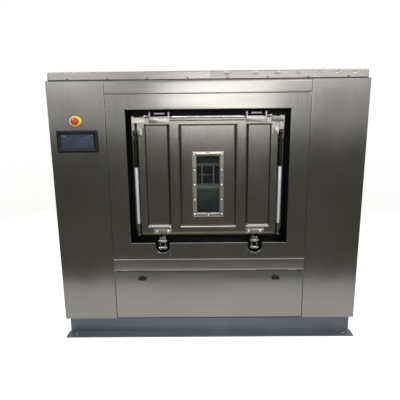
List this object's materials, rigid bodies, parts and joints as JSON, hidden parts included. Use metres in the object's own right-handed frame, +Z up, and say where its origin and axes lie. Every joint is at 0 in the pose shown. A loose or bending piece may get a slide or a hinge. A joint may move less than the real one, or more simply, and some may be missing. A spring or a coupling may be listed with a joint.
{
  "type": "barrier washer",
  "caption": "Suspended barrier washer: stainless cabinet with a top-hinged door to each room, a spinning drum with sliding hatches, belt drive, touch panel and stop buttons.",
  "frame": {"origin": "on the floor under the middle of the machine", "axes": "+X to the right seen from the loading side, -Y towards the loading side, +Z up"},
  "size_m": [2, 1.54, 1.802],
  "materials": {
    "panel_steel": "brushed stainless sheet, warm grey",
    "lid_steel": "pale stainless sheet",
    "door_steel": "pressed stainless sheet, fine brushed",
    "bright_steel": "ground bright steel",
    "rod_chrome": "hard chromed bar",
    "base_paint": "blue-grey enamel",
    "frame_paint": "dark grey enamel",
    "mouth_black": "black coated plate",
    "bellows_rubber": "matt black rubber",
    "seal_rubber": "black door seal rubber",
    "belt_rubber": "black belt rubber",
    "gas_silver": "pale silver painted tube",
    "window_glass": "toughened glass with a green edge",
    "hmi_plastic": "fine grained dark plastic",
    "hmi_glass": "dark screen surface",
    "estop_yellow": "yellow moulded plastic",
    "estop_red": "red moulded plastic",
    "lock_black": "black moulded plastic",
    "tub_steel": "stainless tub sheet",
    "drum_steel": "perforated stainless drum sheet",
    "cast_grey": "grey cast iron",
    "motor_paint": "blue-grey motor enamel",
    "valve_brass": "cast brass"
  },
  "bodies": {
    "cabinet": {"base_frame": "base_paint", "cabinet_frame": "frame_paint", "front_left_column": "panel_steel", "front_right_column": "panel_steel", "rear_columns": "panel_steel", "side_panels": "panel_steel", "top_cover": "lid_steel", "top_cover_screws": "bright_steel", "trim_strips": "panel_steel", "front_surround": "panel_steel", "rear_surround": "panel_steel", "front_service_panel": "panel_steel", "rear_service_panel": "panel_steel", "hmi_housing": "hmi_plastic", "hmi_screen": "hmi_glass", "estop_collars": "estop_yellow", "top_connections": "bright_steel", "door_bellows": "bellows_rubber", "air_springs": "bellows_rubber"},
    "front_lock_left": {"front_lock_left": "lock_black"},
    "front_lock_right": {"front_lock_right": "lock_black"},
    "front_estop_button": {"front_estop_button": "estop_red"},
    "rear_estop_button": {"rear_estop_button": "estop_red"},
    "tub": {"tub_shell": "tub_steel", "tub_ends": "tub_steel", "mouth_frames": "mouth_black", "tub_feet": "frame_paint", "mouth_brackets": "mouth_black", "latch_mounts": "mouth_black", "door_seals": "seal_rubber", "bearing_housings": "cast_grey", "bearings": "bright_steel", "motor": "motor_paint", "drain_valve": "valve_brass", "drive_belt": "belt_rubber"},
    "motor_pulley": {"motor_pulley": "cast_grey"},
    "drum": {"drum_shell": "drum_steel", "drum_heads": "drum_steel", "drum_pulley": "cast_grey", "drum_door_guides": "drum_steel", "drum_lifters": "drum_steel"},
    "front_drum_door": {"front_drum_door": "drum_steel"},
    "rear_drum_door": {"rear_drum_door": "drum_steel"},
    "front_door": {"front_door_panel": "door_steel", "front_window_frame": "bright_steel", "front_window_glass": "window_glass", "front_window_bolts": "bright_steel", "front_hinge_saddles": "bright_steel", "front_hinge_rods": "rod_chrome", "front_lift_arms": "bright_steel", "front_strike_pads": "bright_steel"},
    "front_gas_tubes": {"front_gas_tubes": "gas_silver"},
    "front_gas_rods": {"front_gas_rods": "rod_chrome"},
    "front_latches": {"front_latches": "bright_steel"},
    "rear_door": {"rear_door_panel": "door_steel", "rear_window_glass": "window_glass", "rear_door_fittings": "bright_steel"},
    "rear_gas_tubes": {"rear_gas_tubes": "gas_silver"},
    "rear_gas_rods": {"rear_gas_rods": "rod_chrome"},
    "rear_latches": {"rear_latches": "bright_steel"}
  },
  "joints": [
    {"name": "tub_suspension", "type": "slide", "parent": "cabinet", "child": "tub", "axis": [0, 0, 1], "range_m": [-0.01, 0.01], "stiffness_N_per_m": 553660, "springref_m": 0.02029, "deforming": ["air_springs", "door_bellows"]},
    {"name": "drum_spin", "type": "hinge", "parent": "tub", "child": "drum", "pos_m": [0, 0, 1], "axis": [1, 0, 0], "continuous": true},
    {"name": "motor_spin", "type": "hinge", "parent": "tub", "child": "motor_pulley", "pos_m": [0.73, 0, 0.3], "axis": [1, 0, 0], "continuous": true},
    {"name": "front_drum_door_slide", "type": "hinge", "parent": "drum", "child": "front_drum_door", "pos_m": [0, 0, 1], "axis": [-1, 0, 0], "range_deg": [0, 68]},
    {"name": "front_door_swing", "type": "hinge", "parent": "tub", "child": "front_door", "pos_m": [0, -0.64, 1.498], "axis": [-1, 0, 0], "range_deg": [0, 85]},
    {"name": "front_gas_tube_tilt", "type": "hinge", "parent": "tub", "child": "front_gas_tubes", "pos_m": [0, -0.625, 0.69], "axis": [1, 0, 0], "range_deg": [0, 8.54]},
    {"name": "front_gas_rod_slide", "type": "slide", "parent": "front_gas_tubes", "child": "front_gas_rods", "axis": [0, -0.0219, 0.9998], "range_m": [0, 0.12399]},
    {"name": "front_latch_slide", "type": "slide", "parent": "tub", "child": "front_latches", "axis": [0, 0, 1], "range_m": [0, 0.03]},
    {"name": "front_estop_press", "type": "slide", "parent": "cabinet", "child": "front_estop_button", "axis": [0, 1, 0], "range_m": [0, 0.004], "stiffness_N_per_m": 3000},
    {"name": "rear_drum_door_slide", "type": "hinge", "parent": "drum", "child": "rear_drum_door", "pos_m": [0, 0, 1], "axis": [-1, 0, 0], "range_deg": [0, 68]},
    {"name": "rear_door_swing", "type": "hinge", "parent": "tub", "child": "rear_door", "pos_m": [0, 0.64, 1.498], "axis": [1, 0, 0], "range_deg": [0, 85]},
    {"name": "rear_gas_tube_tilt", "type": "hinge", "parent": "tub", "child": "rear_gas_tubes", "pos_m": [0, 0.625, 0.69], "axis": [-1, 0, 0], "range_deg": [0, 8.54]},
    {"name": "rear_gas_rod_slide", "type": "slide", "parent": "rear_gas_tubes", "child": "rear_gas_rods", "axis": [0, 0.0219, 0.9998], "range_m": [0, 0.12399]},
    {"name": "rear_latch_slide", "type": "slide", "parent": "tub", "child": "rear_latches", "axis": [0, 0, 1], "range_m": [0, 0.03]},
    {"name": "rear_estop_press", "type": "slide", "parent": "cabinet", "child": "rear_estop_button", "axis": [0, -1, 0], "range_m": [0, 0.004], "stiffness_N_per_m": 3000},
    {"name": "front_lock_left_turn", "type": "hinge", "parent": "cabinet", "child": "front_lock_left", "pos_m": [-0.452, -0.7, 0.401], "axis": [0, 1, 0], "range_deg": [0, 90]},
    {"name": "front_lock_right_turn", "type": "hinge", "parent": "cabinet", "child": "front_lock_right", "pos_m": [0.452, -0.7, 0.401], "axis": [0, 1, 0], "range_deg": [0, 90]}
  ],
  "couplings": [
    {"joint": "motor_spin", "follows": "drum_spin", "ratio": 4},
    {"joint": "front_gas_tube_tilt", "follows": "front_door_swing", "ratio": 0.10039},
    {"joint": "front_gas_rod_slide", "follows": "front_door_swing", "m_per_rad": 0.083511},
    {"joint": "rear_gas_tube_tilt", "follows": "rear_door_swing", "ratio": 0.10039},
    {"joint": "rear_gas_rod_slide", "follows": "rear_door_swing", "m_per_rad": 0.083511}
  ]
}
